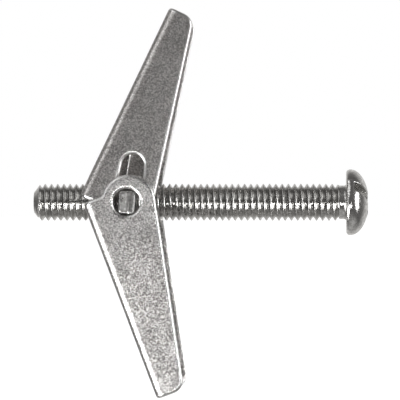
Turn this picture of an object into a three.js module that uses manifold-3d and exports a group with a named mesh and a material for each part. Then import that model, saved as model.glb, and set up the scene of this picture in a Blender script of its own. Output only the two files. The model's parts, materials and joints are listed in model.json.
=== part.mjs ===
// Spring toggle bolt: a round-head machine screw, a plate nut with two lugs, two folding channel
// wings that face opposite ways round, and the torsion spring that holds them open.
// Millimetres. X runs along the screw with the head at +X, Y runs along the wings' pivot, Z is up.
// The origin is on the screw's axis, in the plane of the head's bearing face.

import * as THREE from "three";
import { mergeVertices } from "three/addons/utils/BufferGeometryUtils.js";
import Module from "manifold-3d";

const wasm = await Module();
wasm.setup();

// ---------------------------------------------------------------- driving dimensions

const screwLength = 50; // from the bearing face to the end
const majorRadius = 2.97; // over the thread's crests
const threadPitch = 1;
const threadDepth = 0.61;
const crestWidth = 0.14;
const tipFaceRadius = 1.65;
const tipChamfer = 1;
const neckLength = 1.1; // plain stretch under the head
const neckRelief = 0.28; // how far the neck lies below the crests
const neckFillet = 0.32; // where the neck meets the bearing face
const runout = 0.4; // where the thread fades into the neck

const headRadius = 5.27;
const headHeight = 3.45;
const rimHeight = 0.65; // the widest ring's height over the bearing face
const rimRound = 0.5;
const domeAxis = 2.95; // the dome is part of an ellipse with this half-axis along X
const slotWidth = 1.6;
const slotDepth = 2.3;
const slotTurn = 30; // degrees about X, from the pivot's direction
const recessWidth = 1.25;
const recessHalfLength = 2.35; // of the cross recess, at the crown
const recessFloorHalfLength = 1.1;
const recessDepth = 2.6;

const pivotDistance = 34.7; // from the bearing face to the wings' pivot
const nutTilt = 2.4; // degrees about Y that the thread's slack lets the nut lean
const nutThickness = 2.5;
const nutWall = 0.55; // beyond the bore, at the nut's sides
const nutCrown = 1.05; // beyond the bore, at the nut's top and bottom
const nutCorner = 1.1;
const lugHeight = 3.5;
const lugCorner = 0.6;
const lugRecess = 0.3; // how far a lug's end lies below the outer ear's face

const sheet = 0.85; // the wings' metal
const wingLength = 30.8; // from the pivot to the tip
const tipRound = 2.15;
const bendRadius = 1.5; // outside, where a flange meets the web
const earWall = 2.1; // around the pivot hole
const slotTravel = 5.95; // between the centres of the inner ear's slot
const slotEndRadius = 1.75; // at the slot's far end
const slotLean = 17; // degrees from the web's direction, towards the web
const openAngle = 23.2; // degrees that an open wing leans from square to the nut's axis

// Where the wings differ: webClearance lies between the web and the nut's furthest corner, the depths
// are the flanges' at the tip, over the web, and the ear's outline is earOffset off the hole, away
// from the web.
const upperShape = { webClearance: 2, innerDepth: 4.35, outerDepth: 4, earOffset: -0.1 };
const lowerShape = { webClearance: 1.3, innerDepth: 4.65, outerDepth: 4.65, earOffset: 0.35 };

const wireDiameter = 0.7;
const coilSpacing = 0.1; // between turns of the spring
const legLean = 7.6; // degrees from the nut's plane, beyond the elbow
const elbowHeight = 4.2; // from the pivot
const elbowOffset = 1.2; // behind the pivot

// ---------------------------------------------------------------- clearances

const boreGap = 0.25; // around the thread's crests
const pivotGap = 0.23; // around a lug, in its hole
const earGap = 0.2; // between nested ears
const springGap = 0.2; // around the spring's coil
const legGap = 0.25; // between a leg's end and the web
const stopGap = 0.3; // between the two webs' ends when the wings are open
const notchGap = 0.4; // around the screw where it passes through an open wing's web

// ---------------------------------------------------------------- how finely round shapes are cut

const threadSteps = 12; // per turn
const roundSteps = 32; // of a full circle
const arcSteps = 8; // of an arc, or of half a circle
const bendSteps = 4; // of a rounded corner
const overcut = 1; // how far a cutting tool runs past what it cuts
const mergeDistance = 1e-4;

// ---------------------------------------------------------------- sizes that follow

const degrees = Math.PI / 180;
const rootRadius = majorRadius - threadDepth;
const neckRadius = majorRadius - neckRelief;
const boreRadius = majorRadius + boreGap;
const nutHalfWidth = boreRadius + nutWall;
const nutHalfHeight = boreRadius + nutCrown;
const nutReach = Math.hypot(nutThickness / 2, nutHalfHeight);
const lugReach = Math.hypot(nutThickness / 2 - lugCorner, lugHeight / 2 - lugCorner) + lugCorner;
const holeRadius = lugReach + pivotGap;
const earRadius = holeRadius + earWall;
const open = openAngle * degrees;
const leastLean = open - nutTilt * degrees; // of either web, from square to the screw
const notchRadius = majorRadius + notchGap;

const wireRadius = wireDiameter / 2;
const coilRadius = lugReach + springGap + wireRadius;
const elbow = new THREE.Vector2(-elbowOffset, elbowHeight);
const shankLean = Math.asin(coilRadius / elbow.length()) - Math.atan2(elbowOffset, elbowHeight);
const coilWrap = 2 * Math.PI + 2 * shankLean;
const coilAdvance = ((wireDiameter + coilSpacing) * coilWrap) / (2 * Math.PI);
const coilStart = nutHalfWidth + springGap + wireRadius;
const innerEar = coilStart + coilAdvance + wireRadius + springGap; // inner face of the inner ears
const outerEar = innerEar + sheet + earGap; // inner face of the outer ears
const lugEnd = outerEar + sheet - lugRecess;

const stopReach = nutReach + Math.min(upperShape.webClearance, lowerShape.webClearance);

// Where a wing's web lies from the pivot, where it starts, and where the screw's notch ends. Both
// webs start where the nearer one's inner face comes to the stop gap.
function webOf(shape) {
  const inner = nutReach + shape.webClearance;
  const outer = inner + sheet;
  const start = stopGap / (2 * Math.cos(open)) - stopReach * Math.tan(open);
  const notchEnd = (majorRadius - inner * Math.sin(leastLean)) / Math.cos(leastLean) + notchGap;
  return { inner, outer, start, notchEnd };
}

// ---------------------------------------------------------------- helpers

// A geometry as a manifold solid.
function solid(geometry) {
  const bare = geometry.clone();
  bare.deleteAttribute("normal");
  bare.deleteAttribute("uv");
  const merged = mergeVertices(bare, mergeDistance);
  const vertProperties = merged.attributes.position.array;
  const triVerts = new Uint32Array(merged.index.array);
  return new wasm.Manifold(new wasm.Mesh({ numProp: 3, vertProperties, triVerts }));
}

// A manifold solid as a geometry.
function geometryOf(made) {
  const mesh = made.getMesh();
  const geometry = new THREE.BufferGeometry();
  geometry.setAttribute("position", new THREE.BufferAttribute(mesh.vertProperties, mesh.numProp));
  geometry.setIndex(new THREE.BufferAttribute(mesh.triVerts, 1));
  geometry.computeVertexNormals();
  return geometry;
}

// A closed outline through corners [x, y, radius], each rounded to its radius.
function roundedShape(corners) {
  const shape = new THREE.Shape();
  const count = corners.length;
  corners.forEach(([x, y, radius], i) => {
    const corner = new THREE.Vector2(x, y);
    if (!radius) {
      if (i === 0) shape.moveTo(x, y);
      else shape.lineTo(x, y);
      return;
    }
    const before = new THREE.Vector2(...corners[(i + count - 1) % count]).sub(corner).normalize();
    const after = new THREE.Vector2(...corners[(i + 1) % count]).sub(corner).normalize();
    const half = Math.acos(before.dot(after)) / 2;
    const start = before.clone().multiplyScalar(radius / Math.tan(half)).add(corner);
    const end = after.clone().multiplyScalar(radius / Math.tan(half)).add(corner);
    const centre = before.clone().add(after).normalize().multiplyScalar(radius / Math.sin(half)).add(corner);
    const from = start.clone().sub(centre).angle();
    const to = end.clone().sub(centre).angle();
    if (i === 0) shape.moveTo(start.x, start.y);
    shape.absarc(centre.x, centre.y, radius, from, to, before.cross(after) > 0);
  });
  shape.closePath();
  return shape;
}

function roundedRectangle(halfWidth, halfHeight, radius) {
  return roundedShape([
    [-halfWidth, -halfHeight, radius],
    [halfWidth, -halfHeight, radius],
    [halfWidth, halfHeight, radius],
    [-halfWidth, halfHeight, radius],
  ]);
}

function extruded(shape, depth, curveSegments) {
  return new THREE.ExtrudeGeometry(shape, { depth, bevelEnabled: false, curveSegments });
}

// A shape drawn in X and Z, given thickness along Y from low to high.
function acrossY(shape, low, high, curveSegments) {
  return extruded(shape, high - low, curveSegments).rotateX(Math.PI / 2).translate(0, high, 0);
}

// A shape drawn in Y and Z, given thickness along X from low to high.
function alongX(shape, low, high, curveSegments) {
  const prism = extruded(shape, high - low, curveSegments).rotateX(Math.PI / 2);
  return prism.rotateZ(Math.PI / 2).translate(low, 0, 0);
}

// A profile of [x, radius] points turned about the X axis.
function turned(profile) {
  const points = profile.map(([x, radius]) => new THREE.Vector2(radius, x));
  return new THREE.LatheGeometry(points, roundSteps).rotateZ(-Math.PI / 2);
}

// ---------------------------------------------------------------- machine screw

// A right-hand threaded rod with open-cut ends: rows of profile points that climb one pitch a turn,
// so that the top of each row is the foot of the row one turn later. A fan closes each end.
function threadedRod(start, turns) {
  const flank = (threadPitch - crestWidth) / 2;
  const profile = [
    [0, rootRadius],
    [flank, majorRadius],
    [flank + crestWidth, majorRadius],
  ];
  const rows = turns * threadSteps;
  const positions = [];
  const pointAt = (row, [offset, radius]) => {
    const angle = (2 * Math.PI * (row % threadSteps)) / threadSteps;
    const x = start + (threadPitch * row) / threadSteps + offset;
    return [x, radius * Math.cos(angle), radius * Math.sin(angle)];
  };
  for (let row = 0; row <= rows; row++) profile.forEach((point) => positions.push(...pointAt(row, point)));
  for (let row = rows + 1; row <= rows + threadSteps; row++) positions.push(...pointAt(row, profile[0]));
  const count = profile.length;
  const foot = (row) => (row <= rows ? row * count : (rows + 1) * count + row - rows - 1);
  const vertex = (row, j) => (j < count ? foot(row) + j : foot(row + threadSteps));

  const lowCentre = positions.length / 3;
  const highCentre = lowCentre + 1;
  positions.push(start + threadPitch / 2, 0, 0);
  positions.push(start + (turns + 1 / 2) * threadPitch, 0, 0);

  const index = [];
  for (let row = 0; row < rows; row++) {
    for (let j = 0; j < count; j++) {
      const [a, b] = [vertex(row, j), vertex(row + 1, j)];
      const [c, d] = [vertex(row + 1, j + 1), vertex(row, j + 1)];
      index.push(a, b, d, b, c, d);
    }
  }
  for (let k = 0; k < threadSteps; k++) {
    index.push(lowCentre, foot(k + 1), foot(k));
    index.push(highCentre, foot(rows + k), foot(rows + k + 1));
  }
  for (let j = 0; j < count; j++) {
    index.push(lowCentre, vertex(0, j), vertex(0, j + 1));
    index.push(highCentre, vertex(rows, j + 1), vertex(rows, j));
  }
  const geometry = new THREE.BufferGeometry();
  geometry.setAttribute("position", new THREE.Float32BufferAttribute(positions, 3));
  geometry.setIndex(index);
  return geometry;
}

// The thread, trimmed to a chamfered end and a short runout under the head.
function threadedShank() {
  const turns = Math.ceil(screwLength / threadPitch) + 2;
  const rod = solid(threadedRod(-screwLength - threadPitch, turns));
  const clear = majorRadius + overcut;
  const chamferSlope = tipChamfer / (majorRadius - tipFaceRadius);
  const runoutSlope = runout / (majorRadius - neckRadius);
  const envelope = turned([
    [-screwLength, 0],
    [-screwLength, tipFaceRadius],
    [-screwLength + chamferSlope * (clear - tipFaceRadius), clear],
    [-neckLength - runoutSlope * (clear - neckRadius), clear],
    [-neckLength, neckRadius],
    [-neckLength, 0],
  ]);
  return rod.intersect(solid(envelope));
}

// The round head, a dome with a flat crown and a rounded rim.
function headBlank() {
  const profile = [[0, 0]];
  for (let i = 0; i <= bendSteps; i++) {
    const angle = ((i / bendSteps) * Math.PI) / 2;
    profile.push([rimHeight * (1 - Math.cos(angle)), headRadius - rimRound * (1 - Math.sin(angle))]);
  }
  const crown = Math.asin((headHeight - rimHeight) / domeAxis);
  for (let i = 1; i <= arcSteps; i++) {
    const angle = (i / arcSteps) * crown;
    profile.push([rimHeight + domeAxis * Math.sin(angle), headRadius * Math.cos(angle)]);
  }
  profile.push([headHeight, 0]);
  return solid(turned(profile));
}

// The driver slot across the head and the cross recess in the crown, which line up.
function driveCut() {
  const slotHeight = slotDepth + overcut;
  const slotLength = 2 * (headRadius + overcut);
  const slot = new THREE.BoxGeometry(slotHeight, slotLength, slotWidth);
  slot.translate(headHeight - slotDepth + slotHeight / 2, 0, 0);
  const blade = new THREE.Shape([
    new THREE.Vector2(headHeight - recessDepth, -recessFloorHalfLength),
    new THREE.Vector2(headHeight, -recessHalfLength),
    new THREE.Vector2(headHeight + overcut, -recessHalfLength),
    new THREE.Vector2(headHeight + overcut, recessHalfLength),
    new THREE.Vector2(headHeight, recessHalfLength),
    new THREE.Vector2(headHeight - recessDepth, recessFloorHalfLength),
  ]);
  const along = extruded(blade, recessWidth, 1).translate(0, 0, -recessWidth / 2);
  const across = along.clone().rotateX(Math.PI / 2);
  return solid(slot).add(solid(along)).add(solid(across));
}

// The plain neck, which widens in a fillet to the bearing face.
function neckBlank() {
  const profile = [[-neckLength - runout, 0], [-neckLength - runout, neckRadius]];
  for (let i = 0; i <= bendSteps; i++) {
    const angle = ((i / bendSteps) * Math.PI) / 2;
    profile.push([neckFillet * (Math.sin(angle) - 1), neckRadius + neckFillet * (1 - Math.cos(angle))]);
  }
  profile.push([rimHeight, neckRadius + neckFillet], [rimHeight, 0]);
  return solid(turned(profile));
}

function machineScrew() {
  const blank = threadedShank().add(neckBlank()).add(headBlank());
  const drive = solid(geometryOf(driveCut()).rotateX(-slotTurn * degrees));
  return geometryOf(blank.subtract(drive));
}

// ---------------------------------------------------------------- toggle nut, about the pivot

function toggleNut() {
  const half = nutThickness / 2;
  const plate = roundedRectangle(nutHalfWidth, nutHalfHeight, nutCorner);
  const body = alongX(plate, -half, half, bendSteps);
  const lugSection = roundedRectangle(half, lugHeight / 2, lugCorner);
  const lugs = acrossY(lugSection, -lugEnd, lugEnd, bendSteps);
  const bore = turned([
    [-half - overcut, 0],
    [-half - overcut, boreRadius],
    [half + overcut, boreRadius],
    [half + overcut, 0],
  ]);
  return geometryOf(solid(body).add(solid(lugs)).subtract(solid(bore)));
}

// ---------------------------------------------------------------- wings, about the pivot
// A wing points along +Z with its web on the -X side. Its inner, slotted ear is at -Y and its
// outer, round-holed ear at +Y.

const flangeLow = -innerEar - sheet;
const flangeHigh = outerEar + sheet;

// The channel's section, as long as the wing: a web and two flanges, with rounded bends.
function channel(shape, web) {
  const reach = shape.earOffset + earRadius + overcut;
  const bendInside = bendRadius - sheet;
  const section = roundedShape([
    [reach, flangeLow, 0],
    [reach, flangeLow + sheet, 0],
    [-web.inner, flangeLow + sheet, bendInside],
    [-web.inner, flangeHigh - sheet, bendInside],
    [reach, flangeHigh - sheet, 0],
    [reach, flangeHigh, 0],
    [-web.outer, flangeHigh, bendRadius],
    [-web.outer, flangeLow, bendRadius],
  ]);
  const foot = -earRadius - overcut;
  return solid(extruded(section, wingLength - foot + overcut, bendSteps).translate(0, 0, foot));
}

// The wing seen from the side: a free edge that runs from the tip to the ear's round end, and a
// square shoulder from the ear to the web. It runs past the web, which the channel limits.
function sideOutline(shape, web, tipDepth) {
  const ear = new THREE.Vector2(shape.earOffset, 0);
  const tip = new THREE.Vector2(tipDepth - web.outer, wingLength);
  const toTip = tip.clone().sub(ear);
  const tangentAngle = toTip.angle() - Math.acos(earRadius / toTip.length());
  const shoulderAngle = Math.asin(web.start / earRadius);
  const past = -web.outer - overcut;
  const tangent = new THREE.Vector2(earRadius, 0).rotateAround(new THREE.Vector2(), tangentAngle).add(ear);
  const edge = tangent.clone().sub(tip).normalize();
  const half = Math.acos(-edge.x) / 2; // of the corner between the tip's end and the free edge
  const cut = tipRound / Math.tan(half);
  const centre = new THREE.Vector2(tip.x - cut, wingLength - tipRound);

  const outline = new THREE.Shape();
  outline.moveTo(past, web.start);
  outline.lineTo(past, wingLength);
  outline.lineTo(centre.x, wingLength);
  outline.absarc(centre.x, centre.y, tipRound, Math.PI / 2, tangentAngle, true);
  outline.absarc(ear.x, ear.y, earRadius, tangentAngle, -Math.PI - shoulderAngle, true);
  outline.closePath();
  return outline;
}

// The slot in the inner ear, with round ends, which narrows from the pivot towards the tip.
function slotOutline() {
  const along = Math.PI / 2 + slotLean * degrees;
  const end = new THREE.Vector2(slotTravel, 0).rotateAround(new THREE.Vector2(), along);
  const half = Math.acos((holeRadius - slotEndRadius) / slotTravel); // to where the sides touch
  const shape = new THREE.Shape();
  shape.absarc(0, 0, holeRadius, along + half, along + 2 * Math.PI - half, false);
  shape.absarc(end.x, end.y, slotEndRadius, along - half, along + half, false);
  shape.closePath();
  return shape;
}

// The notch in the web's end, which the screw passes through when the wing is open.
function notchOutline(web) {
  const foot = web.start - overcut;
  const centre = web.notchEnd - notchRadius;
  const shape = new THREE.Shape();
  shape.moveTo(-notchRadius, foot);
  shape.lineTo(notchRadius, foot);
  shape.absarc(0, centre, notchRadius, 0, Math.PI, false);
  shape.closePath();
  return shape;
}

function wing(shape) {
  const web = webOf(shape);
  const innerSide = acrossY(sideOutline(shape, web, shape.innerDepth), flangeLow - overcut, 0, arcSteps);
  const outerSide = acrossY(sideOutline(shape, web, shape.outerDepth), 0, flangeHigh + overcut, arcSteps);
  const round = new THREE.Shape().absarc(0, 0, holeRadius, 0, 2 * Math.PI, false);
  const hole = solid(acrossY(round, 0, flangeHigh + overcut, arcSteps));
  const slot = solid(acrossY(slotOutline(), flangeLow - overcut, 0, arcSteps));
  const notch = solid(alongX(notchOutline(web), -web.outer - overcut, 0, arcSteps));
  const blank = channel(shape, web);
  const inner = blank.intersect(solid(innerSide)).subtract(slot);
  const outer = blank.intersect(solid(outerSide)).subtract(hole);
  return geometryOf(inner.add(outer).subtract(notch));
}

// ---------------------------------------------------------------- torsion spring, about the pivot

// A leg's points in X and Z, from its end by a wing's web to where it meets the coil.
function legPoints(shape) {
  const lean = legLean * degrees;
  const direction = new THREE.Vector2(Math.sin(lean), Math.cos(lean));
  const towardsWeb = new THREE.Vector2(-Math.cos(open), Math.sin(open));
  const room = webOf(shape).inner - legGap - wireRadius - elbow.dot(towardsWeb);
  const length = room / direction.dot(towardsWeb);
  const end = direction.multiplyScalar(length).add(elbow);
  const points = [end];
  for (let i = 1; i < arcSteps; i++) points.push(end.clone().lerp(elbow, i / arcSteps));
  return points;
}

function torsionSpring() {
  const path = [];
  const place = (point, y, side) => path.push(new THREE.Vector3(point.x, y, side * point.y));
  legPoints(lowerShape).forEach((point) => place(point, coilStart, -1));
  const coilPoints = Math.round((coilWrap / (2 * Math.PI)) * roundSteps / 2);
  for (let i = 0; i <= coilPoints; i++) {
    const share = i / coilPoints;
    const angle = Math.PI + shankLean - share * coilWrap;
    const point = new THREE.Vector2(coilRadius, 0).rotateAround(new THREE.Vector2(), angle);
    place(point, coilStart + share * coilAdvance, 1);
  }
  const upperLeg = legPoints(upperShape).reverse();
  upperLeg.forEach((point) => place(point, coilStart + coilAdvance, 1));
  const curve = new THREE.CatmullRomCurve3(path, false, "centripetal");
  const section = new THREE.Shape().absarc(0, 0, wireRadius, 0, 2 * Math.PI, false);
  const steps = 2 * roundSteps;
  return new THREE.ExtrudeGeometry(section, { steps, extrudePath: curve, curveSegments: bendSteps });
}

// ---------------------------------------------------------------- assembly

function zincPlate(color, roughness) {
  return new THREE.MeshStandardMaterial({ color, roughness, metalness: 1 });
}

function piece(name, geometry, material) {
  const mesh = new THREE.Mesh(geometry, material);
  mesh.name = name;
  return mesh;
}

const toggle = new THREE.Group();
toggle.position.x = -pivotDistance;
toggle.rotation.y = nutTilt * degrees;

const upper = new THREE.Group();
upper.rotation.y = open;
upper.add(piece("upper_wing", wing(upperShape), zincPlate(0xb4b1ad, 0.42)));

const lower = new THREE.Group();
lower.rotation.x = Math.PI;
const lowerLean = new THREE.Group();
lowerLean.rotation.y = open;
lowerLean.add(piece("lower_wing", wing(lowerShape), zincPlate(0xb4b1ad, 0.42)));
lower.add(lowerLean);

toggle.add(piece("toggle_nut", toggleNut(), zincPlate(0xaeacaa, 0.35)));
toggle.add(piece("torsion_spring", torsionSpring(), zincPlate(0x9d9c9a, 0.3)));
toggle.add(upper, lower);

const toggleBolt = new THREE.Group();
toggleBolt.add(piece("machine_screw", machineScrew(), zincPlate(0xc4c4c4, 0.2)));
toggleBolt.add(toggle);

export default toggleBolt;
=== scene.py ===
"""Looks of a spring toggle bolt: screw, nut, two folding channel wings and a torsion spring.

Every piece is modelled in millimetres in the frame of the CAD part, with X along the screw and the
head at +X, Y along the wings' pivot and Z up, and is scaled to metres when it is put in place.
"""

import json
import logging
import math
from collections.abc import Callable
from dataclasses import dataclass
from enum import Enum

import bmesh
import bpy
import numpy as np
from mathutils import Matrix, Vector, noise
from mathutils.geometry import delaunay_2d_cdt

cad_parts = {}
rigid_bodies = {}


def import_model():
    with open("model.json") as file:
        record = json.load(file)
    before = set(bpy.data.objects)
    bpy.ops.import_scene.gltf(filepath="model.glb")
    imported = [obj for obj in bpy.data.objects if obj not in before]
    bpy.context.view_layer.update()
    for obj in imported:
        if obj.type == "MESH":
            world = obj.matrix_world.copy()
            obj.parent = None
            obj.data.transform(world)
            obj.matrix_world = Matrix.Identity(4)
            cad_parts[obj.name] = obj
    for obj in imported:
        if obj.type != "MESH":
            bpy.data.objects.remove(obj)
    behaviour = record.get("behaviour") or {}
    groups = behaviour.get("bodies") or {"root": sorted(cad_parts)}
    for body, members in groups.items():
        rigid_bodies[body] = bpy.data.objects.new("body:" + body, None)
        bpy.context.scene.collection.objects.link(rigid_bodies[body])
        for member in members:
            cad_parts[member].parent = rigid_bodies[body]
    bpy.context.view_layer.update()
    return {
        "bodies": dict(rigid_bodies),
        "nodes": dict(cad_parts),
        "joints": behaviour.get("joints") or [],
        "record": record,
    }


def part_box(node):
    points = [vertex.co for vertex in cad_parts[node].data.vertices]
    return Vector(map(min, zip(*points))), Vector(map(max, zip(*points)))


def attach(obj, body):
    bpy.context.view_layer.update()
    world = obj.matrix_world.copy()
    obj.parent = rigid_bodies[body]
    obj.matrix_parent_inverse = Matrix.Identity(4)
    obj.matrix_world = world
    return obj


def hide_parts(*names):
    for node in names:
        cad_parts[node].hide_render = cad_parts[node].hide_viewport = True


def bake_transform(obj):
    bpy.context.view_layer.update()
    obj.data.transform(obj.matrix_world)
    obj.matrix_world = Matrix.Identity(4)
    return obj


LOG = logging.getLogger("toggle_bolt")
MM = 0.001

Triple = tuple[float, float, float]
Point = tuple[float, float]
Setting = float | int | bool | str | tuple | bpy.types.NodeSocket | bpy.types.Material


# ------------------------------------------------------------------ node trees


class Graph:
    """Writes the nodes and links of one node tree."""

    def __init__(self, tree: bpy.types.NodeTree) -> None:
        """Starts writing into a tree."""
        self.tree = tree

    def feed(self, socket: bpy.types.NodeSocket, value: Setting) -> None:
        """Links a socket to another one, or sets its value."""
        if isinstance(value, bpy.types.NodeSocket):
            self.tree.links.new(value, socket)
        else:
            socket.default_value = value

    def node(self, kind: str, inputs: dict | None = None, **settings: Setting) -> bpy.types.Node:
        """Adds a node.

        Args:
            kind: The node's type.
            inputs: Values or source sockets, by input name or place.
            settings: The node's own properties.

        Returns:
            The new node.
        """
        made = self.tree.nodes.new(kind)
        for name, value in settings.items():
            setattr(made, name, value)
        for name, value in (inputs or {}).items():
            self.feed(made.inputs[name], value)
        return made

    def math(self, operation: str, *values: Setting, clamp: bool = False) -> bpy.types.NodeSocket:
        """Adds a math node.

        Args:
            operation: The operation's name.
            values: Up to three numbers or sockets.
            clamp: Whether the result stays between 0 and 1.

        Returns:
            The result's socket.
        """
        made = self.node("ShaderNodeMath", operation=operation, use_clamp=clamp)
        for place, value in enumerate(values):
            self.feed(made.inputs[place], value)
        return made.outputs[0]

    def ramp(self, value: Setting, low: float, high: float) -> bpy.types.NodeSocket:
        """Maps low..high to 0..1, with eased ends.

        Args:
            value: The number or socket to map.
            low: What becomes 0.
            high: What becomes 1.

        Returns:
            The result's socket.
        """
        given = {0: value, 1: low, 2: high}
        made = self.node("ShaderNodeMapRange", given, interpolation_type="SMOOTHSTEP")
        return made.outputs[0]

    def noise(
        self, vector: bpy.types.NodeSocket, scale: Setting, detail: float = 2.0
    ) -> bpy.types.NodeSocket:
        """Adds a noise texture.

        Args:
            vector: Where the texture is read.
            scale: Its features per metre.
            detail: Its number of finer layers.

        Returns:
            The socket of its value.
        """
        made = self.node("ShaderNodeTexNoise", {"Vector": vector, "Scale": scale, "Detail": detail})
        return made.outputs[0]

    def mix(self, share: Setting, first: Setting, second: Setting) -> bpy.types.NodeSocket:
        """Mixes two colours.

        Args:
            share: How much of the second colour shows.
            first: The colour at 0.
            second: The colour at 1.

        Returns:
            The mixed colour's socket.
        """
        made = self.node("ShaderNodeMix", data_type="RGBA")
        self.feed(made.inputs[0], share)
        self.feed(made.inputs[6], first)
        self.feed(made.inputs[7], second)
        return made.outputs[2]


class NodeGroup:
    """A node tree with named inputs and outputs."""

    def __init__(self, name: str, kind: str, inputs: dict, outputs: dict) -> None:
        """Makes the tree's interface.

        Args:
            name: The tree's name.
            kind: ShaderNodeTree or GeometryNodeTree.
            inputs: Each input's socket type and default value, by name.
            outputs: Each output's socket type, by name.
        """
        self.tree = bpy.data.node_groups.new(name, kind)
        for label, (socket_type, value) in inputs.items():
            socket = self.tree.interface.new_socket(label, in_out="INPUT", socket_type=socket_type)
            if value is not None:
                socket.default_value = value
        for label, socket_type in outputs.items():
            self.tree.interface.new_socket(label, in_out="OUTPUT", socket_type=socket_type)
        self.graph = Graph(self.tree)
        self.inputs = self.graph.node("NodeGroupInput").outputs
        self.outputs = self.graph.node("NodeGroupOutput").inputs

    def put_out(self, label: str, value: bpy.types.NodeSocket) -> None:
        """Links a value to a named output."""
        self.graph.feed(self.outputs[label], value)

    def identifiers(self) -> dict[str, str]:
        """Gives each input's identifier by its name."""
        items = self.tree.interface.items_tree
        sockets = [item for item in items if item.item_type == "SOCKET"]
        return {item.name: item.identifier for item in sockets if item.in_out == "INPUT"}


FLOAT = "NodeSocketFloat"
INTEGER = "NodeSocketInt"
VECTOR = "NodeSocketVector"
GEOMETRY = "NodeSocketGeometry"
MATERIAL = "NodeSocketMaterial"


# ------------------------------------------------------------------ finishes


class SurfaceGroups:
    """The shader node groups that every finish shares."""

    def __init__(self) -> None:
        """Builds each group once."""
        self.grain = self.plate_grain()
        self.wear = self.edge_wear_and_highlight()
        self.dust = self.settled_dust_and_shade()
        self.lines = self.tool_lines()

    @staticmethod
    def plate_grain() -> NodeGroup:
        """Builds the grain of zinc plate: small flat crystals over soft clouds.

        Returns:
            A group that puts out the grain's tone, its bright specks and its height.
        """
        group = NodeGroup(
            "Plate grain",
            "ShaderNodeTree",
            {
                "Vector": (VECTOR, None),
                "Grains per metre": (FLOAT, 2500.0),
                "Clouds per metre": (FLOAT, 160.0),
            },
            {"Tone": FLOAT, "Specks": FLOAT, "Height": FLOAT},
        )
        graph, given = group.graph, group.inputs
        vector, grains = given["Vector"], given["Grains per metre"]
        coarse = graph.noise(vector, given["Clouds per metre"], 3.0)
        fine = graph.noise(vector, grains, 3.0)
        cells = graph.node("ShaderNodeTexVoronoi", {"Vector": vector, "Scale": grains}, feature="F1")
        patch = graph.noise(vector, graph.math("MULTIPLY", grains, 0.27), 2.0)
        clouds = graph.math("MULTIPLY", coarse, 0.45)
        mottle = graph.math("MULTIPLY_ADD", patch, 0.35, clouds)
        crystal = graph.node("ShaderNodeSeparateColor", {0: cells.outputs["Color"]}).outputs[0]
        grained = graph.math("MULTIPLY_ADD", crystal, 0.5, graph.math("MULTIPLY", fine, 0.35))
        tone = graph.math("MULTIPLY_ADD", mottle, 0.5, grained)
        group.put_out("Tone", graph.ramp(tone, 0.3, 0.95))
        specks = graph.math("MULTIPLY", graph.ramp(crystal, 0.72, 0.95), graph.ramp(fine, 0.4, 0.6))
        group.put_out("Specks", specks)
        height = graph.math("MULTIPLY_ADD", cells.outputs["Distance"], -0.5, fine)
        group.put_out("Height", graph.math("MULTIPLY_ADD", patch, 0.15, height))
        return group

    @staticmethod
    def edge_wear_and_highlight() -> NodeGroup:
        """Builds the brightening along edges: partly rubbing wear, partly painted highlight on edges and
        thread crests.

        Returns:
            A group that turns a piece's edge attribute into a broken mask.
        """
        group = NodeGroup(
            "Edge wear and painted highlight",
            "ShaderNodeTree",
            {"Vector": (VECTOR, None), "Edge": (FLOAT, 0.0), "Breaks per metre": (FLOAT, 900.0)},
            {"Mask": FLOAT},
        )
        graph, given = group.graph, group.inputs
        breaks = graph.noise(given["Vector"], given["Breaks per metre"], 3.0)
        reach = graph.math("MULTIPLY_ADD", breaks, 0.9, graph.math("SUBTRACT", given["Edge"], 0.75))
        group.put_out("Mask", graph.ramp(reach, 0.0, 0.5))
        return group

    @staticmethod
    def settled_dust_and_shade() -> NodeGroup:
        """Builds the dull film: cloudy dust patches anywhere, and painted shade darkening hollows such as
        thread valleys.

        Returns:
            A group that turns a piece's hollow attribute into a cloudy mask.
        """
        group = NodeGroup(
            "Settled dust and painted hollow shade",
            "ShaderNodeTree",
            {"Vector": (VECTOR, None), "Hollow": (FLOAT, 0.0), "Patches per metre": (FLOAT, 450.0)},
            {"Mask": FLOAT},
        )
        graph, given = group.graph, group.inputs
        patches = graph.noise(given["Vector"], given["Patches per metre"], 4.0)
        film = graph.math("MULTIPLY", graph.ramp(patches, 0.5, 0.78), 0.35)
        # Painted shade: hollows are darkened where the patches allow.
        painted_hollow_shade = graph.math("MULTIPLY", given["Hollow"], graph.ramp(patches, 0.2, 0.6))
        group.put_out("Mask", graph.math("ADD", painted_hollow_shade, film, clamp=True))
        return group

    @staticmethod
    def tool_lines() -> NodeGroup:
        """Builds fine lines left by drawing, rolling or turning.

        Returns:
            A group that puts out the lines' height, stretched by its scale input.
        """
        group = NodeGroup(
            "Tool lines",
            "ShaderNodeTree",
            {"Vector": (VECTOR, None), "Lines per metre": (VECTOR, (400.0, 9000.0, 9000.0))},
            {"Height": FLOAT},
        )
        graph, given = group.graph, group.inputs
        factors = {0: given["Vector"], 1: given["Lines per metre"]}
        stretched = graph.node("ShaderNodeVectorMath", factors, operation="MULTIPLY")
        group.put_out("Height", graph.noise(stretched.outputs[0], 1.0, 2.0))
        return group


# Colour of edges worn bright; it also paints highlight along edges and thread crests.
RUBBED_METAL_AND_HIGHLIGHT = (0.9, 0.895, 0.885, 1.0)
# Colour of dull dusty film; it also paints shade into hollows and thread valleys.
DULL_FILM_AND_SHADE = (0.17, 0.165, 0.16, 1.0)


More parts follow.
